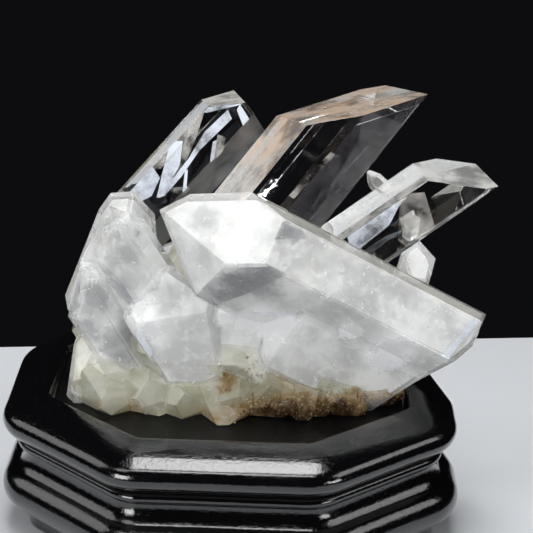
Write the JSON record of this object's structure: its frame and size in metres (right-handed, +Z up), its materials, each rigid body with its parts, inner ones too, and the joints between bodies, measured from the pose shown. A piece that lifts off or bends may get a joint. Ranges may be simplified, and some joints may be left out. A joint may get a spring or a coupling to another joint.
{
  "type": "quartz crystal cluster on display stand",
  "caption": "Natural cluster of six-sided clear and milky quartz points on a rough rusty base, resting in the recess of a low carved black lacquered wooden display stand.",
  "frame": {"origin": "on the table, at the middle of the stand's flat underside", "axes": "+Z up, front of the stand and the large front crystal toward -Y, tall clear points lean toward +X"},
  "size_m": [0.149, 0.1172, 0.1292],
  "materials": {
    "milky_quartz": "clear tips passing into milky white bodies, naturally glossy faces, matt rusty crust at the foot",
    "black_lacquered_wood": "black lacquer, high gloss with a slight orange-peel"
  },
  "bodies": {
    "root": {"quartz_cluster": "milky_quartz", "display_stand": "black_lacquered_wood"}
  },
  "joints": []
}
